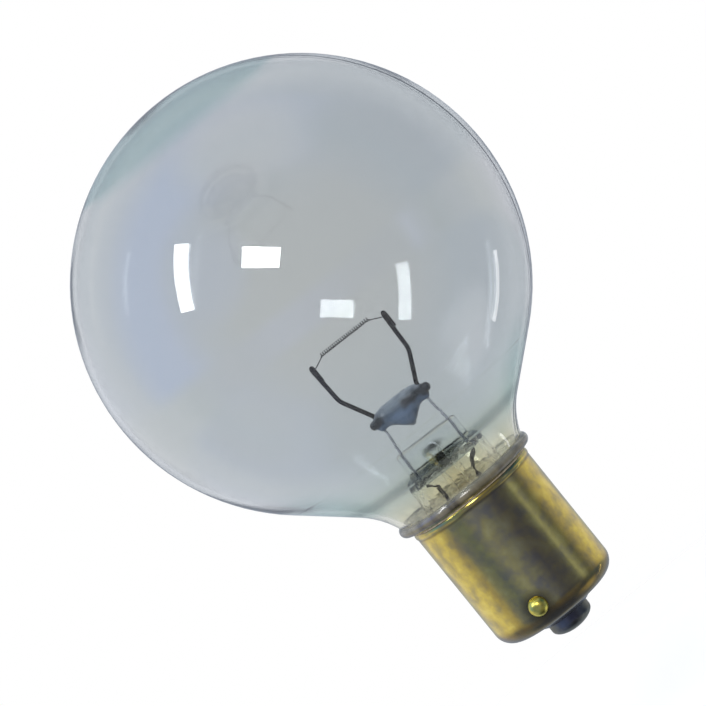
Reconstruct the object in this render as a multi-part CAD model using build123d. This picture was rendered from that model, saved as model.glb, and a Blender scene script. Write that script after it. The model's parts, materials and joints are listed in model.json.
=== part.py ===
from build123d import *
import os
from math import atan2, cos, hypot, radians, sin, sqrt

# Clear globe lamp with a two-pin, single-contact bayonet cap. Lengths are in millimetres.
# Z is the lamp's axis with the globe upward. The origin is on the axis, in the plane of the pins.
# The filament and its leads lie in the XZ plane, and the pins point along -Y and +Y.

# Brass cap
shell_diameter = 15.2
shell_wall = 0.35
shell_length = 16.05
shell_corner = 2.0  # outside radius where the side turns under
shell_mouth = 9.2  # hole in the cap's floor
rim_roll = 0.1  # how far the burnished rim stands out
rim_height = 0.7
pin_rise = 2.75  # pins above the outside of the cap's floor
pin_diameter = 2.2
pin_reach = 0.95  # pin outside the shell
pin_tail = 0.6  # pin inside the shell
pin_round = 0.9

# Insulator and centre contact
insulator_gap = 0.3  # below the pins
boss_drop = 0.8  # insulator below the cap's floor
boss_margin = 0.35  # insulator round the contact
contact_diameter = 5.1
contact_seat = 0.45  # contact plate let into the insulator
contact_stand = 0.8  # contact plate below the insulator
contact_dome = 1.2  # solder below the contact plate
eyelet_diameter = 1.9
eyelet_bore = 1.0
soldered_end = 0.4  # lead inside the solder

# Blown glass envelope
globe_diameter = 49.6
globe_wall = 0.7
neck_length = 3.95  # from the cap's rim to the bottom of the globe's sphere
neck_overhang = 0.75  # narrowest part of the neck outside the shell
neck_splay = 21.0  # degrees that the neck leans out just above the lip
neck_fillet = 9.8
neck_run = 0.5  # least straight run between the neck's arc and the globe
lip_rise = 0.95  # lip's widest level above the rim
lip_stand = 0.4  # lip outside the neck
lip_round = 0.65
lip_turn = 50.0  # degrees that the lip curls under
lip_wall = 1.0  # glass from the narrowest part of the neck in to the bore, level with the lip
lip_gap = 0.1  # cement between the lip and the rim
spigot_depth = 2.8  # glass inside the shell
spigot_wall = 0.85
cement_gap = 0.4  # between the spigot and the shell
cement_tail = 1.2  # cement below the spigot

# Glass stem and exhaust tube
flare_seat = 1.0  # height of the fused edge
flare_wall = 0.8
flare_dish = 0.35  # how far the flare's side curves in
stem_diameter = 10.0
stem_rise = 5.25  # shoulder above the cap's rim
stem_round = 0.9
stem_crown = 1.0  # glass under the shoulder
press_height = 2.8
press_thickness = 2.3
press_flow = 0.35  # extra width and height where the press runs into the shoulder
press_spread = 0.7  # extra thickness on each side there
press_margin = 0.8  # glass outside each lead
press_round = 0.4
exhaust_diameter = 2.6
exhaust_bore = 1.4
exhaust_hole_rise = 1.25  # above the shoulder
exhaust_clear = 6.5  # closed tip above the insulator
exhaust_tip = 2.2

# Lead wires
press_lead_span = 6.5
bead_lead_span = 6.0
bend_lead_span = 9.7
tip_lead_span = 10.1
inner_lead_diameter = 0.5
seal_lead_diameter = 0.3
outer_lead_diameter = 0.4
bend_rise = 4.5  # outer bend above the bead
tip_rise = 9.4  # top of the folded tip above the bead
bead_exit = 0.9  # straight wire above the bead's centre
inner_lead_bend = 1.0  # radius of the bend at the bead
outer_bend = 2.0  # radius of the bend where the leads turn upright
seal_exit = 1.9  # straight wire below the bead's centre
seal_entry = 0.35  # straight wire above the press
seal_lead_bend = 0.6
hook_tail = 1.9
hook_fullness = 0.96  # fold's bend radius as a share of its half width
outer_lead_span = 4.7
outer_lead_lean = 0.6  # how far the contact's lead leans in on its way down
outer_lead_fall = 5.5  # height over which it leans
outer_lead_bend = 0.32
contact_lead_turn = 4.6  # bends above the insulator
contact_lead_drop = 1.4
exit_drop = 1.0  # shell lead below the cement
exit_bend = 0.8
exit_azimuth = 115.0
exit_reach = 0.15  # lead outside the shell
solder_spread = 2.4
solder_height = 0.5

# Bridging bead
bead_rise = 3.75  # knobs above the press
bead_overhang = 1.1  # glass outside each lead
bead_crown = 1.3  # top of the bead above its knobs' centres
bead_keel = 2.3  # bottom of the bead below them
bead_thickness = 2.6
bead_end = 0.8  # height and thickness where the bead meets the knobs at its ends
bead_knob = 1.05
bead_flatness = 4  # a higher power keeps the top flat for longer
bead_taper = 1.0  # a higher power draws the bottom in to a sharper V
bead_stations = 7

# Coiled filament
filament_wire = 0.12
coil_diameter = 0.4  # of the wire's centre line
coil_pitch = 0.28
coil_turns = 24
coil_lift = 0.25  # coil's centre line above the wire tips
leg_drop = 0.15  # leg below the fold that holds it
leg_overrun = 0.35  # leg past the wire that holds it
knuckle_fullness = 1.8  # swelling where the coil turns into a leg, as a multiple of the wire

# Levels and radii that follow from the sizes above
shell_radius = shell_diameter / 2
cavity_radius = shell_radius - shell_wall
floor_z = -pin_rise
rim_z = floor_z + shell_length
insulator_z = -pin_diameter / 2 - insulator_gap
boss_z = floor_z - boss_drop
contact_z = boss_z - contact_stand
globe_radius = globe_diameter / 2
globe_z = rim_z + neck_length + globe_radius
neck_radius = shell_radius + neck_overhang
spigot_radius = cavity_radius - cement_gap
spigot_bore = spigot_radius - spigot_wall
spigot_z = rim_z - spigot_depth
cement_z = spigot_z - cement_tail
shoulder_z = rim_z + stem_rise
crown_z = shoulder_z - stem_crown
press_z = shoulder_z + press_height
exhaust_z = insulator_z + exhaust_clear
bead_z = press_z + bead_rise
exit_z = cement_z - exit_drop
hook_offset = (inner_lead_diameter + filament_wire) / 2
hook_bend = hook_offset * hook_fullness
hook_top_z = bead_z + tip_rise - inner_lead_diameter / 2
coil_z = bead_z + tip_rise + coil_lift
coil_length = coil_pitch * coil_turns
leg_knuckle = filament_wire * knuckle_fullness


def arc_about(centre, start, end):
    """Arc of less than half a turn about centre, from start to end, in the plane of a profile."""
    radius = hypot(start[0] - centre[0], start[1] - centre[1])
    across = start[0] + end[0] - 2 * centre[0]
    along = start[1] + end[1] - 2 * centre[1]
    scale = radius / hypot(across, along)
    return ThreePointArc(start, (centre[0] + across * scale, centre[1] + along * scale), end)


def turned(edges):
    """Solid turned about Z from a closed profile of radius and height."""
    return revolve(Plane.XZ * make_face(edges), axis=Axis.Z)


def turned_outline(*points):
    """Solid turned about Z from the straight-sided profile through these points."""
    return turned(Polyline(*points, close=True))


def wire_along(points, radii, diameter):
    """Round wire along straight runs joined by arcs."""
    if radii:
        path = FilletPolyline(*points, radius=radii)
    else:
        path = Polyline(*points)
    start = Plane(origin=path @ 0, z_dir=path % 0)
    return sweep(start * Circle(diameter / 2), path=path)


def cap_form(radius, corner, bottom):
    """Solid cup form with a rounded bottom edge, up to the cap's rim."""
    turn = (radius - corner, bottom + corner)
    return turned(
        [
            Line((0, bottom), (turn[0], bottom)),
            arc_about(turn, (turn[0], bottom), (radius, turn[1])),
            Polyline((radius, turn[1]), (radius, rim_z), (0, rim_z), (0, bottom)),
        ]
    )


def make_pin():
    """Bayonet pin with a rounded head, along -Y."""
    head = shell_radius + pin_reach
    tail = cavity_radius - pin_tail
    radius = pin_diameter / 2
    turn = (radius - pin_round, head - pin_round)
    profile = [
        Polyline((0, head), (0, tail), (radius, tail), (radius, turn[1])),
        arc_about(turn, (radius, turn[1]), (turn[0], head)),
        Line((turn[0], head), (0, head)),
    ]
    return Rot(90, 0, 0) * turned(profile)


def make_shell(pins, shell_lead):
    """Drawn brass shell with a burnished rim, holes for the pins and one for a lead."""
    rim_low = rim_z - rim_height
    rim_bulge = (shell_radius + rim_roll, rim_z - rim_height / 2)
    roll = turned(
        [
            ThreePointArc((shell_radius, rim_low), rim_bulge, (shell_radius, rim_z)),
            Polyline((shell_radius, rim_z), (cavity_radius, rim_z), (cavity_radius, rim_low),
                     (shell_radius, rim_low)),
        ]
    )
    cavity = cap_form(cavity_radius, shell_corner - shell_wall, floor_z + shell_wall)
    mouth = Pos(0, 0, floor_z) * Cylinder(shell_mouth / 2, 2 * shell_wall)
    shell = cap_form(shell_radius, shell_corner, floor_z) + roll - cavity - mouth
    for cut in [*pins, shell_lead]:
        shell -= cut
    return shell


def make_insulator(contact_plate):
    """Black glass that fills the cap's floor and carries the contact on a boss."""
    cavity = cap_form(cavity_radius, shell_corner - shell_wall, floor_z + shell_wall)
    above = turned_outline(
        (0, insulator_z), (shell_diameter, insulator_z), (shell_diameter, rim_z), (0, rim_z)
    )
    mouth_radius = shell_mouth / 2
    boss_radius = contact_diameter / 2 + boss_margin
    plug = turned_outline(
        (0, floor_z + shell_wall),
        (mouth_radius, floor_z + shell_wall),
        (mouth_radius, floor_z),
        (boss_radius, boss_z),
        (0, boss_z),
    )
    bore = Pos(0, 0, insulator_z) * Cylinder(eyelet_bore / 2, 2 * shell_length)
    return cavity - above + plug - contact_plate - bore


def make_contact_plate():
    """Brass contact disc with an eyelet that takes the lead."""
    bore = eyelet_bore / 2
    eyelet = eyelet_diameter / 2
    disc = contact_diameter / 2
    seat_z = boss_z + contact_seat
    return turned_outline(
        (bore, contact_z),
        (disc, contact_z),
        (disc, seat_z),
        (eyelet, seat_z),
        (eyelet, insulator_z),
        (bore, insulator_z),
    )


def make_contact_solder(contact_lead):
    """Solder dome under the contact disc, run up into the eyelet round the lead."""
    disc = contact_diameter / 2
    bore = eyelet_bore / 2
    dome = EllipticalCenterArc((0, contact_z), disc, contact_dome, start_angle=270, arc_size=90)
    edges = Polyline(
        (disc, contact_z), (bore, contact_z), (bore, insulator_z), (0, insulator_z),
        (0, contact_z - contact_dome)
    )
    return turned([dome, edges]) - contact_lead


def make_envelope():
    """Globe, concave neck, lip on the cap's rim and spigot inside the shell, blown as one wall."""
    centre = (0, globe_z)
    lip = (neck_radius + lip_stand - lip_round, rim_z + lip_rise)
    neck_z = lip[1] + sqrt(lip_round**2 - (lip_round - lip_stand) ** 2)
    under = radians(lip_turn)
    lip_low = (lip[0] + lip_round * cos(under), lip[1] - lip_round * sin(under))
    seat_z = rim_z + lip_gap

    # The neck's arc leans out above the lip, and a straight run tangent to both joins it to the globe
    drop = globe_z - neck_z
    lean = (cos(radians(neck_splay)), sin(radians(neck_splay)))
    room = neck_radius**2 + drop**2 - globe_radius**2 - neck_run**2
    widest = room / 2 / (globe_radius - neck_radius * lean[0] - drop * lean[1])
    neck_arc = min(neck_fillet, widest)
    waist = (neck_radius + neck_arc * lean[0], neck_z - neck_arc * lean[1])
    apart = hypot(waist[0], globe_z - waist[1])
    reach = globe_radius + neck_arc
    turn = atan2(globe_z - waist[1], waist[0]) - atan2(sqrt(apart**2 - reach**2), reach)

    def on_globe(radius):
        return (radius * cos(turn), globe_z - radius * sin(turn))

    def on_waist(radius):
        return (waist[0] - radius * cos(turn), waist[1] + radius * sin(turn))

    def neck_foot(radius):
        return (waist[0] - radius * lean[0], waist[1] + radius * lean[1])

    bore_radius = globe_radius - globe_wall
    bore_arc = neck_arc + globe_wall
    top = (0, globe_z + globe_radius)
    bore_top = (0, globe_z + bore_radius)
    return turned(
        [
            arc_about(centre, top, on_globe(globe_radius)),
            Line(on_globe(globe_radius), on_waist(neck_arc)),
            arc_about(waist, on_waist(neck_arc), neck_foot(neck_arc)),
            arc_about(lip, neck_foot(neck_arc), lip_low),
            Polyline(
                lip_low,
                (shell_radius, seat_z),
                (spigot_radius, seat_z),
                (spigot_radius, spigot_z),
                (spigot_bore, spigot_z),
                (spigot_bore, rim_z),
                (neck_radius - lip_wall, lip[1]),
                neck_foot(bore_arc),
            ),
            arc_about(waist, neck_foot(bore_arc), on_waist(bore_arc)),
            Line(on_waist(bore_arc), on_globe(bore_radius)),
            arc_about(centre, on_globe(bore_radius), bore_top),
            Line(bore_top, top),
        ]
    )


def make_cement():
    """Basing cement round the spigot, under its end and under the lip."""
    return turned_outline(
        (spigot_radius, rim_z + lip_gap),
        (shell_radius, rim_z + lip_gap),
        (shell_radius, rim_z),
        (cavity_radius, rim_z),
        (cavity_radius, cement_z),
        (spigot_bore, cement_z),
        (spigot_bore, spigot_z),
        (spigot_radius, spigot_z),
    )


def make_stem(seal_leads):
    """Flare fused into the spigot, with the flat press that seals the leads and the exhaust hole."""
    radius = stem_diameter / 2
    low_z = spigot_z + flare_seat
    high_z = shoulder_z - stem_round
    waist = ((spigot_bore + radius) / 2 - flare_dish, (low_z + high_z) / 2)
    side = ThreePointArc((spigot_bore, low_z), waist, (radius, high_z))
    turn = (radius - stem_round, high_z)
    inside = ThreePointArc(
        (radius - flare_wall, min(high_z, crown_z)),
        (waist[0] - flare_wall, waist[1]),
        (spigot_bore - flare_wall, low_z),
    )
    flare = turned(
        [
            Line((spigot_bore, spigot_z), (spigot_bore, low_z)),
            side,
            arc_about(turn, (radius, high_z), (turn[0], shoulder_z)),
            Polyline((turn[0], shoulder_z), (0, shoulder_z), (0, crown_z),
                     (radius - flare_wall, crown_z), inside @ 0),
            inside,
            Polyline(inside @ 1, (spigot_bore - flare_wall, spigot_z), (spigot_bore, spigot_z)),
        ]
    )
    width = press_lead_span + 2 * press_margin
    root = Pos(0, 0, shoulder_z - press_flow) * SlotOverall(
        width + 2 * press_flow, press_thickness + 2 * press_spread
    )
    press = Pos(0, 0, shoulder_z + press_flow) * SlotOverall(width, press_thickness)
    web = loft([root, press])
    pad = extrude(press, amount=press_height - press_flow)
    pad = fillet(pad.edges().group_by(Axis.Z)[-1], press_round)
    bore = Pos(0, 0, crown_z) * Cylinder(
        exhaust_bore / 2, stem_crown + exhaust_hole_rise, align=(Align.CENTER, Align.CENTER, Align.MIN)
    )
    hole = Pos(0, 0, shoulder_z + exhaust_hole_rise) * Rot(90, 0, 0) * Cylinder(
        exhaust_bore / 2, press_thickness, align=(Align.CENTER, Align.CENTER, Align.MIN)
    )
    stem = flare + web + pad - bore - hole
    for lead in seal_leads:
        stem -= lead
    return stem


def make_exhaust_tube():
    """Exhaust tube under the stem's crown, drawn out and closed at its tip."""
    radius = exhaust_diameter / 2
    bore = exhaust_bore / 2
    wall = radius - bore
    taper_z = exhaust_z + exhaust_tip
    return turned_outline(
        (bore, crown_z),
        (radius, crown_z),
        (radius, taper_z),
        (wall / 2, exhaust_z),
        (0, exhaust_z),
        (0, exhaust_z + wall),
        (bore, taper_z),
    )


def make_inner_lead(side):
    """Stout lead from the bead to a tip folded over the filament's leg. side is -1 or 1."""
    low = side * bead_lead_span / 2
    turn = side * bend_lead_span / 2
    high = side * tip_lead_span / 2
    points = [
        (low, 0, bead_z),
        (low, 0, bead_z + bead_exit),
        (turn, -hook_offset, bead_z + bend_rise),
        (high, -hook_offset, hook_top_z),
        (high, hook_offset, hook_top_z),
        (high, hook_offset, hook_top_z - hook_tail),
    ]
    bends = [inner_lead_bend, outer_bend, hook_bend, hook_bend]
    return wire_along(points, bends, inner_lead_diameter)


def make_seal_lead(side):
    """Fine lead from inside the bead down through the press."""
    high = side * bead_lead_span / 2
    low = side * press_lead_span / 2
    points = [
        (high, 0, bead_z),
        (high, 0, bead_z - seal_exit),
        (low, 0, press_z + seal_entry),
        (low, 0, crown_z),
    ]
    return wire_along(points, [seal_lead_bend] * 2, seal_lead_diameter)


def make_contact_lead():
    """Outer lead from the press down to the solder of the centre contact."""
    top = press_lead_span / 2
    near = outer_lead_span / 2
    low = near - outer_lead_lean
    points = [
        (top, 0, crown_z),
        (top, 0, crown_z - outer_lead_diameter),
        (near, 0, crown_z - outer_lead_diameter - (top - near)),
        (low, 0, crown_z - outer_lead_fall),
        (low, 0, insulator_z + contact_lead_turn),
        (0, 0, insulator_z + contact_lead_drop),
        (0, 0, contact_z - soldered_end),
    ]
    return wire_along(points, [outer_lead_bend] * 5, outer_lead_diameter)


def make_shell_lead():
    """Outer lead from the press down and out through the shell's side."""
    top = -press_lead_span / 2
    near = -outer_lead_span / 2
    reach = shell_radius + exit_reach
    turn = radians(exit_azimuth)
    points = [
        (top, 0, crown_z),
        (top, 0, crown_z - outer_lead_diameter),
        (near, 0, crown_z - outer_lead_diameter - (near - top)),
        (near, 0, exit_z),
        (reach * cos(turn), reach * sin(turn), exit_z),
    ]
    return wire_along(points, [outer_lead_bend, outer_lead_bend, exit_bend], outer_lead_diameter)


def make_shell_solder(shell_lead):
    """Solder that joins the lead to the outside of the shell."""
    spread = solder_spread / 2
    half = EllipticalCenterArc((0, 0), spread, solder_height, start_angle=0, arc_size=90)
    edges = Polyline((0, solder_height), (0, -solder_height), (spread, -solder_height), (spread, 0))
    drop = Rot(0, 90, 0) * turned([half, edges])
    drop = Rot(0, 0, exit_azimuth) * (Pos(shell_radius, 0, exit_z) * drop)
    body = Pos(0, 0, exit_z) * Cylinder(shell_radius, 2 * solder_spread)
    return drop - body - shell_lead


def make_bead(leads):
    """Glass bead that bridges the leads, flat on top, keeled below and with a knob at each end."""
    knob = bead_knob / 2
    half_length = bead_lead_span / 2 + bead_overhang - knob
    half_end = bead_end / 2
    sections = []
    for station in range(bead_stations):
        along = 2 * station / (bead_stations - 1) - 1
        upper = half_end + (bead_crown - half_end) * (1 - abs(along) ** bead_flatness)
        lower = half_end + (bead_keel - half_end) * (1 - abs(along)) ** bead_taper
        half_depth = half_end + (bead_thickness / 2 - half_end) * (1 - along**2)
        place = Pos(along * half_length, 0, bead_z + (upper - lower) / 2) * Rot(0, 90, 0)
        sections.append(place * Ellipse((upper + lower) / 2, half_depth))
    bead = loft(sections)
    for side in (-1, 1):
        bead += Pos(side * half_length, 0, bead_z) * Sphere(knob)
    for lead in leads:
        bead -= lead
    return bead


def make_filament():
    """Single coil along X, with a straight leg from each end down to the tip of a lead."""
    radius = coil_diameter / 2
    helix = Helix(coil_pitch, coil_length, radius)
    section = Plane(origin=helix @ 0, z_dir=helix % 0) * Circle(filament_wire / 2)
    coil = sweep(section, path=helix, is_frenet=True)
    filament = Pos(-coil_length / 2, 0, coil_z) * (Rot(0, 90, 0) * coil)
    groove_z = hook_top_z - hook_offset - leg_drop
    holder = tip_lead_span / 2
    for side in (-1, 1):
        start = Vector(side * coil_length / 2, 0, coil_z - radius)
        slope = (groove_z - start.Z) / (holder - coil_length / 2)
        end = Vector(side * (holder + leg_overrun), 0, groove_z + slope * leg_overrun)
        knuckle = Pos(*start) * Sphere(leg_knuckle / 2)
        filament += knuckle + wire_along([start, end], None, filament_wire)
    return filament


pin_front = make_pin()
pin_rear = Rot(0, 0, 180) * pin_front
inner_leads = [make_inner_lead(side) for side in (-1, 1)]
seal_leads = [make_seal_lead(side) for side in (-1, 1)]
contact_lead = make_contact_lead()
shell_lead = make_shell_lead()
contact_plate = make_contact_plate()

parts = {
    "glass_envelope": make_envelope(),
    "glass_stem": make_stem(seal_leads),
    "exhaust_tube": make_exhaust_tube(),
    "bridge_bead": make_bead(inner_leads + seal_leads),
    "filament": make_filament(),
    "inner_lead_left": inner_leads[0],
    "inner_lead_right": inner_leads[1],
    "seal_lead_left": seal_leads[0],
    "seal_lead_right": seal_leads[1],
    "contact_lead": contact_lead,
    "shell_lead": shell_lead,
    "base_shell": make_shell([pin_front, pin_rear], shell_lead),
    "bayonet_pin_front": pin_front,
    "bayonet_pin_rear": pin_rear,
    "basing_cement": make_cement(),
    "base_insulator": make_insulator(contact_plate),
    "contact_plate": contact_plate,
    "contact_solder": make_contact_solder(contact_lead),
    "shell_solder": make_shell_solder(shell_lead),
}

os.makedirs("parts", exist_ok=True)
for name, part in parts.items():
    export_step(part, f"parts/{name}.step")
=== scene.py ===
"""Looks of a clear globe vanity bulb on a bayonet cap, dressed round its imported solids."""

import json
import math

import bmesh
import bpy
from mathutils import Matrix, Vector

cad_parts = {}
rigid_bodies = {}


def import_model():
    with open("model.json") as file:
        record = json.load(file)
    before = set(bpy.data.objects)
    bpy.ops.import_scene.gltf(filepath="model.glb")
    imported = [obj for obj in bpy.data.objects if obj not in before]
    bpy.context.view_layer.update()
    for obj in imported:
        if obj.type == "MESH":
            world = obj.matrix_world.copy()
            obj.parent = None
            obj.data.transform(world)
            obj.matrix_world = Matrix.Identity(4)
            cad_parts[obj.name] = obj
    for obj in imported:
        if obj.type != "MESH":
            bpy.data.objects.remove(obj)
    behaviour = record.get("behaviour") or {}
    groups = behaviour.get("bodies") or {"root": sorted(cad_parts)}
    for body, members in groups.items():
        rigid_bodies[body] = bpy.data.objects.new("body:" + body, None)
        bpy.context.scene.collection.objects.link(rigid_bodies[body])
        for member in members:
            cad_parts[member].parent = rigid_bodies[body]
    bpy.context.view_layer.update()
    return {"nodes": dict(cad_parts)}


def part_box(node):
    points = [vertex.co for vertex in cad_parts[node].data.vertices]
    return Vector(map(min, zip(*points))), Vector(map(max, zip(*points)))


for leftover in list(bpy.data.objects):
    bpy.data.objects.remove(leftover)

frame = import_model()

MM = 0.001
WHITE = (1.0, 1.0, 1.0)

# The photograph's view: its frame in pixels, its scale, and where the globe's middle stands in it
IMAGE_SIDE = 706
PIXELS_PER_MM = 9.31
GLOBE_PIXEL = (301.5, 284.5)
VIEW_AZIMUTH = 15.0
VIEW_ELEVATION = 4.0
VIEW_ROLL = 39.0
LENS = 180.0
SENSOR = 36.0
CLIP_RATIO = 100

# Corners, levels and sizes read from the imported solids
glass_low, glass_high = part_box("glass_envelope")
stem_low, stem_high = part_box("glass_stem")
shell_low, shell_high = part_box("base_shell")
bead_low, bead_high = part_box("bridge_bead")
contact_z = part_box("contact_solder")[0].z
pin_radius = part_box("bayonet_pin_front")[1].x
seat_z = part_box("basing_cement")[1].z
globe_radius = glass_high.x
globe_centre = Vector((0, 0, glass_high.z - globe_radius))

# Lamps: their distance, and for each its name, its direction from the globe in the camera's
# axes, its width and height in metres, its radiance and its lean in degrees
LAMP_DISTANCE = 0.4
LAMPS = [
    ("left_lamp", (-0.85, 0.04, 0.53), 0.056, 0.2, 12.0, 8.0),
    ("front_lamp", (-0.31, 0.20, 0.93), 0.13, 0.07, 14.0, 0.0),
    ("edge_lamp", (0.93, 0.0, -0.36), 0.02, 0.14, 2.5, 0.0),
]

# What stands round the bulb as the cap mirrors it: degrees to the right of the camera, and a colour
FULL_TURN = 360
HALF_TURN = 180
FAR_WALL = (0.38, 0.42, 0.49)
FAR_CORNER = (0.50, 0.53, 0.62)
ROOM = [
    (-165, FAR_WALL),
    (-152, FAR_CORNER),
    (-140, (0.80, 0.80, 0.85)),
    (-97, (0.74, 0.74, 0.74)),
    (-81, (0.42, 0.40, 0.41)),
    (-66, (0.17, 0.21, 0.50)),
    (-47, (0.11, 0.16, 0.45)),
    (-23, (0.24, 0.30, 0.82)),
    (0, (0.13, 0.17, 0.62)),
    (23, (0.03, 0.04, 0.22)),
    (45, (0.045, 0.055, 0.18)),
    (55, (0.12, 0.15, 0.32)),
    (61, (0.40, 0.48, 0.95)),
    (68, (0.20, 0.24, 0.50)),
    (78, (0.08, 0.09, 0.10)),
    (97, (0.45, 0.44, 0.50)),
    (116, (0.72, 0.72, 0.70)),
    (140, (0.78, 0.76, 0.85)),
    (152, FAR_CORNER),
    (165, FAR_WALL),
]

# What the globe mirrors above and below that, by degrees from the camera, on its left and its right
NEAR_SHADE = (0.14, 0.13, 0.13)
LEFT_ROOM = [
    (0, NEAR_SHADE),
    (36, (0.16, 0.17, 0.22)),
    (56, (0.12, 0.22, 0.58)),
    (74, (0.14, 0.36, 1.50)),
    (92, (0.16, 0.38, 1.40)),
    (110, (0.52, 0.60, 0.92)),
    (125, (0.76, 0.79, 0.92)),
    (140, (0.52, 0.56, 0.66)),
    (158, FAR_WALL),
]
RIGHT_ROOM = [
    (0, NEAR_SHADE),
    (50, (0.15, 0.15, 0.19)),
    (85, (0.10, 0.16, 0.36)),
    (105, (0.14, 0.22, 0.44)),
    (130, (0.58, 0.64, 0.74)),
    (145, (0.42, 0.48, 0.56)),
    (160, FAR_WALL),
]

# Where the left side of the room gives way to the right one, as a sine to the camera's right
SIDE_BLEND = (-0.5, 0.5)

# Softer patches of it: a place on the globe's disc in radii right and up of its middle,
# how far the patch is full and where it has faded out, in degrees, and a colour
GLEAMS = [
    (-0.25, 0.60, 5, 34, (0.80, 0.76, 0.95)),
    (0.33, 0.58, 8, 34, (0.00, 0.06, 0.25)),
    (0.70, -0.24, 4, 24, (0.95, 0.98, 1.15)),
    (0.40, -0.55, 10, 40, (0.03, 0.03, 0.04)),
    (-0.42, 0.04, 5, 30, (0.05, 0.20, 0.85)),
    (-0.22, -0.64, 5, 34, (0.34, 0.36, 0.56)),
    (-0.64, -0.66, 5, 34, (0.72, 0.75, 0.90)),
]

# How steeply down the directions point that the cap mirrors, as a sine, and how far from
# that the room of the cap fades into the room of the globe
CAP_GLANCE = 0.165
GLANCE_FADE = (0.06, 0.20)

# The light that dull surfaces get from all round
FILL = (0.55, 0.57, 0.60)

# The floor under the bulb: its place, its size, its own glow to the eye, and where it fades out
FLOOR_DROP = 20 * MM
FLOOR_RADIUS = 160 * MM
FLOOR_SEGMENTS = 96
FLOOR_GREY = (0.86, 0.86, 0.86)
FLOOR_GLOW = 0.4
FLOOR_FADE = (0.3 * FLOOR_RADIUS, 0.9 * FLOOR_RADIUS)

# The globe's tint by its level on the axis in millimetres, and a painted light and shade gain,
# lighter on the left and darker on the right
GLASS_BODY = (0.663, 0.692, 0.708)
GLASS_CROWN = (0.545, 0.635, 0.645)
GLASS_TINT = [
    (13.40, (0.80, 0.76, 0.60)),
    (14.20, (0.95, 0.92, 0.76)),
    (15.00, (0.88, 0.86, 0.70)),
    (15.80, (0.70, 0.70, 0.60)),
    (17.00, (0.69, 0.71, 0.63)),
    (18.20, (0.62, 0.66, 0.62)),
    (21.50, (0.66, 0.70, 0.71)),
    (24.00, GLASS_BODY),
    (62.80, GLASS_BODY),
    (63.10, GLASS_CROWN),
    (66.00, GLASS_CROWN),
]
GLASS_PAINTED_SIDE_LIGHT = (1.04, 0.96)

# Painted shade on the front of the lip and of the neck, by level, and where it fades out to the rear
FRONT_PAINTED_SHADE = [
    (13.40, (0.12, 0.10, 0.07)),
    (13.80, (0.16, 0.14, 0.10)),
    (14.25, (0.34, 0.31, 0.24)),
    (14.90, WHITE),
    (18.40, WHITE),
    (19.00, (0.56, 0.58, 0.57)),
    (19.60, (0.56, 0.59, 0.58)),
    (20.20, WHITE),
]
PAINTED_SHADE_FADE = (-3 * MM, 2 * MM)

# Green of the neck's and the crown's thick glass, by level, and the turn over which it comes in
EDGE_GREEN = [
    (17.5, WHITE),
    (19.0, (0.42, 0.70, 0.62)),
    (22.5, (0.45, 0.70, 0.66)),
    (26.0, WHITE),
    (62.8, WHITE),
    (63.1, (0.45, 0.62, 0.66)),
]
EDGE_TURN = (0.45, 0.95)

# The glass's faint tints from square on, at 0, towards edge on, at 1: a painted reflection, a bluish
# ring where the globe mirrors the room
FACING_PAINTED_REFLECTION = [
    (0.00, (1.0, 0.99, 0.975)),
    (0.12, (0.995, 0.99, 0.982)),
    (0.27, (0.965, 0.985, 1.0)),
    (0.40, (0.98, 0.99, 1.0)),
    (0.52, (0.99, 0.99, 0.99)),
]

# The globe's foot over the cement: how high up it is less than clear, and its upright streaks
BOND_HEIGHT = 1.9 * MM
STREAK_HEIGHT = 2.5 * MM
STREAK_SCALE = 620.0
STREAK_STRETCH = (1, 1, 0.12)
STREAK_GAIN = (-0.8, 2.6)

GLASS_IOR = 1.65
GLASS_ROUGHNESS = (0.0, 0.03)
GLASS_HAZE_SCALE = 160.0
GLASS_WAVE_SCALE = 70.0
GLASS_WAVE_DEPTH = 0.15 * MM
GLASS_SHADOW = (0.82, 0.84, 0.87)

# The stem's tints by level: with the dark seal under the press, and clean of it
STEM_FOOT = (0.82, 0.76, 0.64)
STEM_FLARE = (0.98, 0.96, 0.90)
STEM_SEAL = (0.12, 0.13, 0.12)
STEM_SEALED = [
    (11.0, STEM_FOOT),
    (15.0, STEM_FLARE),
    (17.7, STEM_FLARE),
    (18.1, (0.35, 0.35, 0.32)),
    (18.3, STEM_SEAL),
    (18.75, STEM_SEAL),
    (19.0, (0.90, 0.92, 0.93)),
    (21.3, (0.88, 0.90, 0.92)),
]
STEM_CLEAN = [
    (11.0, STEM_FOOT),
    (15.0, STEM_FLARE),
    (17.4, (0.98, 0.97, 0.92)),
    (18.3, (0.76, 0.76, 0.70)),
    (18.7, (0.92, 0.93, 0.94)),
]

# The seal's middle across the stem, and how far to each side of it the seal fades out
SEAL_MIDDLE = -0.7 * MM
SEAL_FADE = (2.6 * MM, 4.2 * MM)

# The exhaust hole in the press: its level, and the painted shade round it, longer across than up
HOLE_Z = 19.9 * MM
HOLE_SHAPE = (0.4, 0, 1)
HOLE_SHADE_REACH = 0.6 * MM
HOLE_PAINTED_SHADE = [
    (0.35, (0.04, 0.045, 0.04)),
    (1.00, WHITE),
]

STEM_IOR = 1.25
STEM_ROUGHNESS = (0.0, 0.12)
STEM_HAZE_SCALE = 500.0
STEM_RIPPLE_SCALE = 900.0
STEM_RIPPLE_DEPTH = 0.12 * MM
STEM_SHADOW = (0.8, 0.8, 0.78)

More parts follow.
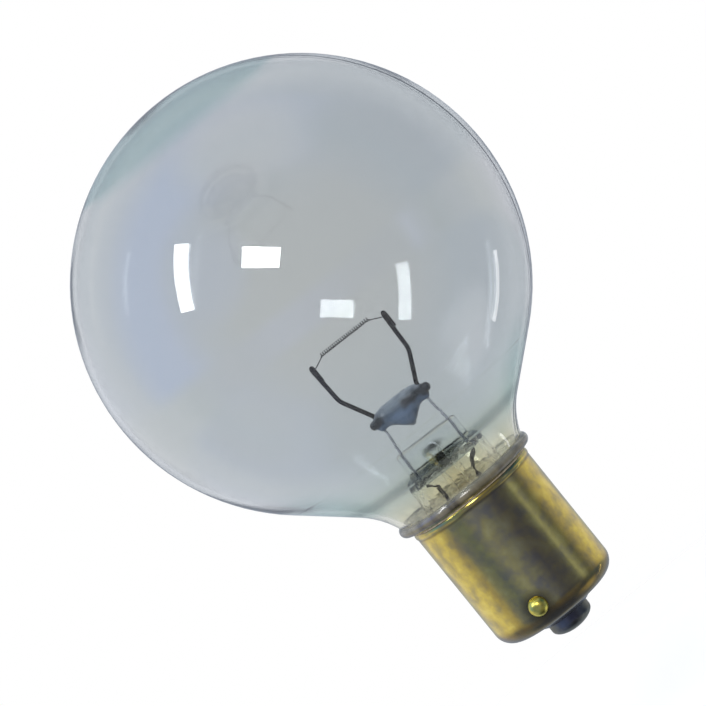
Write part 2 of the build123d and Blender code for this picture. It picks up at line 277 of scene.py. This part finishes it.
# The bead's colours from its lowest point to its highest: with its black belt, and where it is paler
BEAD_LOW = (0.15, 0.22, 0.36)
BEAD_TOP = (0.36, 0.40, 0.45)
BEAD_BELT = [
    (0.00, BEAD_LOW),
    (0.40, (0.12, 0.18, 0.30)),
    (0.54, (0.008, 0.01, 0.018)),
    (0.72, (0.012, 0.016, 0.026)),
    (0.84, (0.22, 0.25, 0.29)),
    (1.00, BEAD_TOP),
]
BEAD_PALE = [
    (0.00, BEAD_LOW),
    (0.50, (0.13, 0.19, 0.30)),
    (0.64, (0.06, 0.09, 0.14)),
    (0.84, (0.20, 0.24, 0.29)),
    (1.00, BEAD_TOP),
]

# The middle of the pale part across the bead, and how far from it the belt comes in
PALE_MIDDLE = -0.8 * MM
PALE_FADE = (0.8 * MM, 1.8 * MM)

BEAD_IOR = 1.4
BEAD_ROUGHNESS = (0.15, 0.45)
BEAD_WANDER_SCALE = 420.0
BEAD_WANDER = (-0.35, 0.35)
BEAD_MOTTLE_SCALE = 1100.0
BEAD_MOTTLE = (0.6, 1.4)
BEAD_DENT_SCALE = 700.0
BEAD_DENT_DEPTH = 0.25 * MM

# The shell's brass in its tarnish clouds, with painted shade by its share of the shell's height and
# painted shade round the pins
BRASS_TARNISH = [
    (0.34, (0.47, 0.38, 0.12)),
    (0.46, (0.62, 0.48, 0.11)),
    (0.56, (0.74, 0.57, 0.10)),
    (0.70, (0.86, 0.69, 0.14)),
]
# Painted shade by the share of the shell's height: dark at the foot and in a line under the rim
BRASS_PAINTED_SHADE = [
    (0.00, (0.16, 0.15, 0.12)),
    (0.09, (0.33, 0.27, 0.14)),
    (0.15, WHITE),
    (0.94, WHITE),
    (0.955, (0.45, 0.42, 0.36)),
    (0.97, WHITE),
]
# Painted shade round the pins, by distance from their axis, out to so many pin radii
PIN_PAINTED_SHADE = [
    (0.00, (0.20, 0.19, 0.20)),
    (0.35, (0.45, 0.43, 0.42)),
    (1.00, WHITE),
]
PIN_SHADE_RADII = 2
BRASS_CLOUD_SCALE = 620.0
BRASS_LINE_SCALE = 900.0
BRASS_LINE_STRETCH = (1, 1, 0.06)
BRASS_LINE_DEPTH = 0.010 * MM
BRASS_ROUGHNESS = (0.10, 0.26)
BRASS_SHEEN = 0.12
BRASS_SHEEN_ROUGHNESS = 0.8
BRASS_SHEEN_TINT = (0.86, 0.92, 1.0)

CEMENT_GRIT = [
    (0.30, (0.30, 0.23, 0.16)),
    (0.55, (0.50, 0.41, 0.29)),
    (0.80, (0.68, 0.58, 0.43)),
]
CEMENT_ROUGHNESS = (0.75, 0.95)
CEMENT_SCALE = 2600.0
CEMENT_DEPTH = 0.1 * MM

BLACK_CLOUDS = [
    (0.30, (0.012, 0.013, 0.016)),
    (0.75, (0.045, 0.047, 0.055)),
]
BLACK_IOR = 1.52
BLACK_ROUGHNESS = (0.12, 0.4)
BLACK_CLOUD_SCALE = 420.0
BLACK_DENT_SCALE = 900.0
BLACK_DENT_DEPTH = 0.05 * MM

# Metals: colour, roughness limits, waves of grain to a metre and the grain's depth
METALS = {
    "tungsten": {
        "colour": (0.04, 0.04, 0.045),
        "rough": (0.4, 0.6),
        "grain": 5000.0,
        "depth": 0.005 * MM,
        "metallic": 0.3,
    },
    "lead_nickel": {
        "colour": (0.006, 0.006, 0.008),
        "rough": (0.4, 0.6),
        "grain": 2500.0,
        "depth": 0.01 * MM,
        "metallic": 0.0,
        "ior": 1.2,
    },
    "lead_fine": {
        "colour": (0.50, 0.51, 0.56),
        "rough": (0.3, 0.5),
        "grain": 3000.0,
        "depth": 0.008 * MM,
        "metallic": 0.4,
    },
    "lead_copper": {
        "colour": (0.05, 0.04, 0.04),
        "rough": (0.3, 0.5),
        "grain": 2500.0,
        "depth": 0.008 * MM,
    },
    "pin_brass": {
        "colour": (0.98, 0.80, 0.14),
        "rough": (0.30, 0.42),
        "grain": 1500.0,
        "depth": 0.01 * MM,
        "shade": (0.75, 1.1),
    },
    "solder": {
        "colour": (0.21, 0.21, 0.16),
        "rough": (0.32, 0.55),
        "grain": 900.0,
        "depth": 0.06 * MM,
    },
}

# The noise values at which a metal's grain has its two shades
GRAIN_STOPS = (0.25, 0.75)


def view_axes():
    """The camera's right, up and backward directions, rolled as the photograph is."""
    azimuth = math.radians(VIEW_AZIMUTH)
    elevation = math.radians(VIEW_ELEVATION)
    roll = math.radians(VIEW_ROLL)
    back = Vector((
        math.sin(azimuth) * math.cos(elevation),
        -math.cos(azimuth) * math.cos(elevation),
        math.sin(elevation),
    ))
    level_right = Vector((math.cos(azimuth), math.sin(azimuth), 0))
    level_up = back.cross(level_right)
    right = level_right * math.cos(roll) - level_up * math.sin(roll)
    up = level_right * math.sin(roll) + level_up * math.cos(roll)
    return right, up, back


RIGHT, UP, BACK = view_axes()


def seen_from_camera(x, y, z):
    """The frame's own direction for one given in the camera's axes: right, up and backward."""
    return (RIGHT * x + UP * y + BACK * z).normalized()


def link(obj):
    """Puts a new object into the scene."""
    bpy.context.scene.collection.objects.link(obj)
    return obj


def make_camera():
    """The camera at the photograph's angle, with the globe at its place in the frame."""
    data = bpy.data.cameras.new("view_camera")
    data.lens = LENS
    data.sensor_width = SENSOR
    camera = link(bpy.data.objects.new("view_camera", data))
    scale = PIXELS_PER_MM / MM
    middle = IMAGE_SIDE / 2
    aim = globe_centre
    aim = aim + RIGHT * (middle - GLOBE_PIXEL[0]) / scale
    aim = aim - UP * (middle - GLOBE_PIXEL[1]) / scale
    distance = IMAGE_SIDE / scale * LENS / SENSOR
    turn = Matrix((RIGHT, UP, BACK)).transposed().to_4x4()
    camera.matrix_world = Matrix.Translation(aim + BACK * distance) @ turn
    data.clip_start = distance / CLIP_RATIO
    data.clip_end = distance * CLIP_RATIO
    bpy.context.scene.camera = camera


def add_node(tree, kind, inputs=None, **settings):
    """A node with its settings, each input set to a value or joined to another node's socket."""
    made = tree.nodes.new(kind)
    for key, value in settings.items():
        setattr(made, key, value)
    for key, value in (inputs or {}).items():
        if isinstance(value, bpy.types.NodeSocket):
            tree.links.new(value, made.inputs[key])
        else:
            made.inputs[key].default_value = value
    return made


def new_material(name):
    """An empty material, and its node tree with the output node."""
    material = bpy.data.materials.new(name)
    material.use_nodes = True
    tree = material.node_tree
    tree.nodes.clear()
    output = tree.nodes.new("ShaderNodeOutputMaterial")
    return material, tree, output


def ramp(tree, factor, stops):
    """A colour ramp over a factor, from (position, colour) stops."""
    made = add_node(tree, "ShaderNodeValToRGB", {"Fac": factor})
    elements = made.color_ramp.elements
    while len(elements) < len(stops):
        elements.new(1.0)
    for element, (position, colour) in zip(elements, stops):
        element.position = position
        element.color = (*colour, 1.0)
    return made.outputs["Color"]


def maths(tree, operation, *values):
    """The number that a Math node makes of values or sockets."""
    made = add_node(tree, "ShaderNodeMath", dict(enumerate(values)), operation=operation)
    return made.outputs["Value"]


def vectors(tree, operation, *values):
    """The vector that a Vector Math node makes of vectors or sockets."""
    made = add_node(tree, "ShaderNodeVectorMath", dict(enumerate(values)), operation=operation)
    return made.outputs["Vector"]


def measure(tree, operation, *values):
    """The number that a Vector Math node makes of vectors or sockets."""
    made = add_node(tree, "ShaderNodeVectorMath", dict(enumerate(values)), operation=operation)
    return made.outputs["Value"]


def split(tree, vector):
    """A vector's X, Y and Z sockets."""
    return add_node(tree, "ShaderNodeSeparateXYZ", {"Vector": vector}).outputs


def place(tree):
    """The place on the piece, in metres."""
    return add_node(tree, "ShaderNodeTexCoord").outputs["Object"]


def share(tree, value, low, high):
    """How far a value is from one limit, at 0, to another, at 1."""
    made = add_node(tree, "ShaderNodeMapRange", {
        "Value": value,
        "From Min": low,
        "From Max": high,
    })
    return made.outputs["Result"]


def height(tree, low, high):
    """How far up the axis a point is, from 0 at one level to 1 at another."""
    return share(tree, split(tree, place(tree))["Z"], low, high)


def noise(tree, scale, detail=3.0, stretch=(1, 1, 1)):
    """A noise value over the piece, with so many waves a metre, stretched by an axis scale."""
    mapped = add_node(tree, "ShaderNodeMapping", {"Vector": place(tree), "Scale": stretch})
    made = add_node(tree, "ShaderNodeTexNoise", {
        "Vector": mapped.outputs["Vector"],
        "Scale": scale,
        "Detail": detail,
    })
    return made.outputs["Fac"]


def span(tree, factor, low, high):
    """A factor from 0 to 1 spread between two values."""
    made = add_node(tree, "ShaderNodeMapRange", {
        "Value": factor,
        "To Min": low,
        "To Max": high,
    })
    return made.outputs["Result"]


def eased(tree, value, low, high):
    """A smooth step from 0 to 1 between two values."""
    made = add_node(tree, "ShaderNodeMapRange", {
        "Value": value,
        "From Min": low,
        "From Max": high,
    }, interpolation_type="SMOOTHSTEP")
    return made.outputs["Result"]


def apart(tree, value, middle, near, far):
    """A smooth step from 0 to 1 as a value leaves a middle, to either side."""
    off = maths(tree, "ABSOLUTE", maths(tree, "SUBTRACT", value, middle))
    return eased(tree, off, near, far)


def tinted(tree, colour, factor, low, high):
    """A colour socket darkened or lightened by a factor spread between two gains."""
    made = add_node(tree, "ShaderNodeVectorMath", {
        0: colour,
        "Scale": span(tree, factor, low, high),
    }, operation="SCALE")
    return made.outputs["Vector"]


def bump(tree, factor, depth):
    """A bump normal from a height factor and its depth in metres."""
    made = add_node(tree, "ShaderNodeBump", {
        "Height": factor,
        "Distance": depth,
        "Strength": 1.0,
    })
    return made.outputs["Normal"]


def mix_colour(tree, factor, first, second):
    """One colour where the factor is 0 and another where it is 1."""
    made = tree.nodes.new("ShaderNodeMix")
    made.data_type = "RGBA"
    colours = [socket for socket in made.inputs if socket.type == "RGBA"]
    tree.links.new(factor, made.inputs["Factor"])
    for socket, value in zip(colours, (first, second)):
        if isinstance(value, bpy.types.NodeSocket):
            tree.links.new(value, socket)
        else:
            socket.default_value = (*value, 1.0)
    return next(socket for socket in made.outputs if socket.type == "RGBA")


def product(tree, *colours):
    """Colour sockets multiplied together."""
    whole = colours[0]
    for colour in colours[1:]:
        whole = vectors(tree, "MULTIPLY", whole, colour)
    return whole


def level_ramp(tree, low, high, stops):
    """A colour ramp up the axis between two levels, its stops given by level in millimetres."""
    shares = [((level * MM - low) / (high - low), colour) for level, colour in stops]
    return ramp(tree, height(tree, low, high), shares)


def glass_surface(tree, output, inputs, shadow):
    """A glass surface that lets lamps through to what stands inside it."""
    body = add_node(tree, "ShaderNodeBsdfPrincipled", inputs)
    clear = add_node(tree, "ShaderNodeBsdfTransparent", {"Color": (*shadow, 1.0)})
    ray = add_node(tree, "ShaderNodeLightPath").outputs["Is Shadow Ray"]
    both = add_node(tree, "ShaderNodeMixShader", {
        "Fac": ray,
        1: body.outputs["BSDF"],
        2: clear.outputs["BSDF"],
    })
    tree.links.new(both.outputs["Shader"], output.inputs["Surface"])


def solid_surface(tree, output, inputs):
    """A surface that no light goes through."""
    body = add_node(tree, "ShaderNodeBsdfPrincipled", inputs)
    tree.links.new(body.outputs["BSDF"], output.inputs["Surface"])


def clear_glass():
    """Thin blown glass, grey-blue, smoky green where thick, opaque and tan at the cement; painted
    shade on its front foot, neck and one side, and a painted bluish reflection ring.
    """
    material, tree, output = new_material("clear_glass")
    levels = (glass_low.z, glass_high.z)
    sides = split(tree, place(tree))
    across = share(tree, sides["X"], -globe_radius, globe_radius)
    # Painted light and shade: the glass made lighter towards -X and darker towards +X
    tint = tinted(tree, level_ramp(tree, *levels, GLASS_TINT), across, *GLASS_PAINTED_SIDE_LIGHT)
    # Painted shade: the front of the lip and the neck darkened, fading out towards the rear
    rearward = eased(tree, sides["Y"], *PAINTED_SHADE_FADE)
    painted_shade = mix_colour(tree, rearward, level_ramp(tree, *levels, FRONT_PAINTED_SHADE), WHITE)
    turned = add_node(tree, "ShaderNodeLayerWeight").outputs["Facing"]
    edge_on = eased(tree, turned, *EDGE_TURN)
    green = mix_colour(tree, edge_on, WHITE, level_ramp(tree, *levels, EDGE_GREEN))
    # Painted reflection: a faint bluish ring, by how edge-on the glass is turned
    painted_reflection_ring = ramp(tree, turned, FACING_PAINTED_REFLECTION)
    runs = noise(tree, STREAK_SCALE, stretch=STREAK_STRETCH)
    streaks = add_node(tree, "ShaderNodeMapRange", {
        "Value": height(tree, seat_z, seat_z + STREAK_HEIGHT),
        "To Min": span(tree, runs, *STREAK_GAIN),
    }).outputs["Result"]
    waves = noise(tree, GLASS_WAVE_SCALE, detail=1.0)
    glass_surface(tree, output, {
        "Base Color": product(tree, tint, painted_reflection_ring, painted_shade, streaks, green),
        "Roughness": span(tree, noise(tree, GLASS_HAZE_SCALE), *GLASS_ROUGHNESS),
        "IOR": GLASS_IOR,
        "Transmission Weight": height(tree, seat_z, seat_z + BOND_HEIGHT),
        "Normal": bump(tree, waves, GLASS_WAVE_DEPTH),
    }, GLASS_SHADOW)
    return material


def stem_glass():
    """Flame-worked glass: tan at its foot, dark at the seal, painted dark round the hole as shade,
    else clear.
    """
    material, tree, output = new_material("stem_glass")
    levels = (stem_low.z, stem_high.z)
    aside = apart(tree, split(tree, place(tree))["X"], SEAL_MIDDLE, *SEAL_FADE)
    sealed = level_ramp(tree, *levels, STEM_SEALED)
    clean = level_ramp(tree, *levels, STEM_CLEAN)
    # Painted shade: a dark patch round the exhaust hole, longer across than up
    off_hole = vectors(tree, "SUBTRACT", place(tree), (0, 0, HOLE_Z))
    reach = measure(tree, "LENGTH", vectors(tree, "MULTIPLY", off_hole, HOLE_SHAPE))
    hole_shade = ramp(tree, share(tree, reach, 0.0, HOLE_SHADE_REACH), HOLE_PAINTED_SHADE)
    ripples = noise(tree, STEM_RIPPLE_SCALE, detail=2.0)
    glass_surface(tree, output, {
        "Base Color": product(tree, mix_colour(tree, aside, sealed, clean), hole_shade),
        "Roughness": span(tree, noise(tree, STEM_HAZE_SCALE), *STEM_ROUGHNESS),
        "IOR": STEM_IOR,
        "Transmission Weight": 1.0,
        "Normal": bump(tree, ripples, STEM_RIPPLE_DEPTH),
    }, STEM_SHADOW)
    return material


def bead_glass():
    """Slate-blue bead with a nearly black belt, which is paler near its middle, and a paler top."""
    material, tree, output = new_material("bead_glass")
    wander = span(tree, noise(tree, BEAD_WANDER_SCALE, detail=2.0), *BEAD_WANDER)
    up = maths(tree, "ADD", height(tree, bead_low.z, bead_high.z), wander)
    aside = apart(tree, split(tree, place(tree))["X"], PALE_MIDDLE, *PALE_FADE)
    colour = mix_colour(tree, aside, ramp(tree, up, BEAD_PALE), ramp(tree, up, BEAD_BELT))
    mottle = noise(tree, BEAD_MOTTLE_SCALE)
    solid_surface(tree, output, {
        "Base Color": tinted(tree, colour, mottle, *BEAD_MOTTLE),
        "Roughness": span(tree, mottle, *BEAD_ROUGHNESS),
        "IOR": BEAD_IOR,
        "Normal": bump(tree, noise(tree, BEAD_DENT_SCALE), BEAD_DENT_DEPTH),
    })
    return material


def metal(name, colour, rough, grain, depth, shade=(0.6, 1.3), metallic=1.0, ior=1.5):
    """A metal or its dull skin, with a grain that varies its shade, its gloss and its surface."""
    material, tree, output = new_material(name)
    flecks = noise(tree, grain)
    hue = ramp(tree, flecks, [
        (stop, [min(1.0, part * gain) for part in colour])
        for stop, gain in zip(GRAIN_STOPS, shade)
    ])
    solid_surface(tree, output, {
        "Base Color": hue,
        "Metallic": metallic,
        "Roughness": span(tree, flecks, *rough),
        "IOR": ior,
        "Normal": bump(tree, flecks, depth),
    })
    return material


def pin_reach(tree):
    """Distance from the pins' own axis, in metres."""
    return measure(tree, "LENGTH", vectors(tree, "MULTIPLY", place(tree), (1, 0, 1)))


def cap_brass():
    """Drawn brass with fine lines and cloudy tarnish, with painted shade at its foot, under the rim
    and round the pins.
    """
    material, tree, output = new_material("cap_brass")
    tarnish = ramp(tree, noise(tree, BRASS_CLOUD_SCALE, detail=6.0), BRASS_TARNISH)
    # Painted shade: darker at the foot and in a line under the rim
    levels = ramp(tree, height(tree, shell_low.z, shell_high.z), BRASS_PAINTED_SHADE)
    # Painted shade: a dark ring round each pin
    near_pin = share(tree, pin_reach(tree), pin_radius, pin_radius * PIN_SHADE_RADII)
    lines = noise(tree, BRASS_LINE_SCALE, stretch=BRASS_LINE_STRETCH)
    solid_surface(tree, output, {
        "Base Color": product(tree, tarnish, levels, ramp(tree, near_pin, PIN_PAINTED_SHADE)),
        "Metallic": 1.0,
        "Roughness": span(tree, lines, *BRASS_ROUGHNESS),
        "Sheen Weight": BRASS_SHEEN,
        "Sheen Roughness": BRASS_SHEEN_ROUGHNESS,
        "Sheen Tint": (*BRASS_SHEEN_TINT, 1.0),
        "Normal": bump(tree, lines, BRASS_LINE_DEPTH),
    })
    return material


def cement():
    """Grainy tan basing cement."""
    material, tree, output = new_material("cement")
    grit = noise(tree, CEMENT_SCALE, detail=5.0)
    solid_surface(tree, output, {
        "Base Color": ramp(tree, grit, CEMENT_GRIT),
        "Roughness": span(tree, grit, *CEMENT_ROUGHNESS),
        "Normal": bump(tree, grit, CEMENT_DEPTH),
    })
    return material


def black_glass():
    """Fused black insulator glass, glossy with duller patches."""
    material, tree, output = new_material("black_glass")
    clouds = noise(tree, BLACK_CLOUD_SCALE)
    solid_surface(tree, output, {
        "Base Color": ramp(tree, clouds, BLACK_CLOUDS),
        "Roughness": span(tree, clouds, *BLACK_ROUGHNESS),
        "IOR": BLACK_IOR,
        "Normal": bump(tree, noise(tree, BLACK_DENT_SCALE), BLACK_DENT_DEPTH),
    })
    return material


def dress(frame_nodes):
    """Gives each solid the finish of its own material slot."""
    finishes = {
        "clear_glass": clear_glass(),
        "stem_glass": stem_glass(),
        "bead_glass": bead_glass(),
        "cap_brass": cap_brass(),
        "cement": cement(),
        "black_glass": black_glass(),
    }
    for name, finish in METALS.items():
        finishes[name] = metal(name, **finish)
    for piece in frame_nodes.values():
        for place_in in piece.material_slots:
            place_in.material = finishes[place_in.material.name.split(".")[0]]


def area_lamp(name, direction, width, tall, radiance, lean):
    """A flat lamp that faces the globe from a direction in the camera's axes, leaning by degrees."""
    data = bpy.data.lights.new(name, "AREA")
    data.shape = "RECTANGLE"
    data.size = width
    data.size_y = tall
    data.energy = radiance * math.pi * width * tall
    lamp = link(bpy.data.objects.new(name, data))
    away = seen_from_camera(*direction)
    across = Matrix.Rotation(math.radians(lean), 3, away) @ UP.cross(away).normalized()
    turn = Matrix((across, away.cross(across), away)).transposed().to_4x4()
    lamp.matrix_world = Matrix.Translation(globe_centre + away * LAMP_DISTANCE) @ turn
    lamp.visible_camera = False


def light():
    """Two windows of light to the left of the camera and a thin one behind on the right."""
    for lamp in LAMPS:
        area_lamp(*lamp)


def seen_rays(tree):
    """The rays that see the surround itself, by eye or through glass, and those that mirror it."""
    rays = add_node(tree, "ShaderNodeLightPath").outputs
    seen = maths(tree, "MAXIMUM", rays["Is Camera Ray"], rays["Is Transmission Ray"])
    return seen, rays["Is Glossy Ray"]


def bearing(tree, way):
    """How far a direction turns about the bulb's axis: 0.5 at the camera, 0 and 1 behind the bulb."""
    ahead = Vector((BACK.x, BACK.y, 0)).normalized()
    aside = Vector((-ahead.y, ahead.x, 0))
    angle = maths(tree, "ARCTAN2", facing(tree, way, aside), facing(tree, way, ahead))
    return share(tree, angle, -math.pi, math.pi)


def mirrored_at(across, above):
    """The direction that the globe's front mirrors at a place on its disc, given in its radii."""
    depth = math.sqrt(1 - across ** 2 - above ** 2)
    return seen_from_camera(2 * across * depth, 2 * above * depth, 2 * depth ** 2 - 1)


def facing(tree, way, towards):
    """How squarely a direction points one way, from -1 to 1."""
    return measure(tree, "DOT_PRODUCT", way, towards)


def gleams(tree, way):
    """The soft rings and patches of glow and shade of the room over and under the bulb."""
    turn = maths(tree, "ARCCOSINE", facing(tree, way, BACK))
    turned = maths(tree, "DIVIDE", turn, math.pi)
    sides = [
        ramp(tree, turned, [(angle / HALF_TURN, colour) for angle, colour in room])
        for room in (LEFT_ROOM, RIGHT_ROOM)
    ]
    colour = mix_colour(tree, eased(tree, facing(tree, way, RIGHT), *SIDE_BLEND), *sides)
    for across, above, near, far, glow in GLEAMS:
        closeness = facing(tree, way, mirrored_at(across, above))
        limits = [math.cos(math.radians(angle)) for angle in (far, near)]
        colour = mix_colour(tree, eased(tree, closeness, *limits), colour, glow)
    return colour


def studio():
    """A white surround to the eye, with the darker room in front of the bulb in what shines."""
    world = bpy.data.worlds.new("studio")
    bpy.context.scene.world = world
    world.use_nodes = True
    world.cycles.sampling_method = "NONE"
    tree = world.node_tree
    tree.nodes.clear()
    way = add_node(tree, "ShaderNodeTexCoord").outputs["Generated"]
    bearings = [(0.5 + turn / FULL_TURN, colour) for turn, colour in ROOM]
    level = ramp(tree, bearing(tree, way), bearings)
    steep = apart(tree, split(tree, way)["Z"], -CAP_GLANCE, *GLANCE_FADE)
    room = mix_colour(tree, steep, level, gleams(tree, way))
    seen, shiny = seen_rays(tree)
    lit = mix_colour(tree, shiny, FILL, room)
    sky = add_node(tree, "ShaderNodeBackground", {"Color": mix_colour(tree, seen, lit, WHITE)})
    output = tree.nodes.new("ShaderNodeOutputWorld")
    tree.links.new(sky.outputs["Background"], output.inputs["Surface"])


def floor_finish():
    """A pale matt floor that keeps a shadow near the bulb and fades into the white surround."""
    material, tree, output = new_material("pale_floor")
    seen, shiny = seen_rays(tree)
    matt = add_node(tree, "ShaderNodeBsdfDiffuse", {"Color": (*FLOOR_GREY, 1.0)})
    glow = add_node(tree, "ShaderNodeEmission", {
        "Color": (*WHITE, 1.0),
        "Strength": maths(tree, "MULTIPLY", seen, FLOOR_GLOW),
    })
    pale = add_node(tree, "ShaderNodeAddShader", {
        0: matt.outputs["BSDF"],
        1: glow.outputs["Emission"],
    })
    faded = eased(tree, measure(tree, "LENGTH", place(tree)), *FLOOR_FADE)
    clear = add_node(tree, "ShaderNodeBsdfTransparent")
    both = add_node(tree, "ShaderNodeMixShader", {
        "Fac": maths(tree, "MAXIMUM", faded, shiny),
        1: pale.outputs["Shader"],
        2: clear.outputs["BSDF"],
    })
    tree.links.new(both.outputs["Shader"], output.inputs["Surface"])
    return material


def make_floor():
    """A round floor under the bulb, which isn't part of it."""
    shape = bmesh.new()
    bmesh.ops.create_circle(shape, cap_ends=True, segments=FLOOR_SEGMENTS, radius=FLOOR_RADIUS)
    mesh = bpy.data.meshes.new("floor")
    shape.to_mesh(mesh)
    shape.free()
    mesh.materials.append(floor_finish())
    floor = link(bpy.data.objects.new("floor", mesh))
    floor.location.z = contact_z - FLOOR_DROP


make_camera()
dress(frame["nodes"])
light()
studio()
make_floor()
bpy.context.scene.view_settings.view_transform = "Standard"
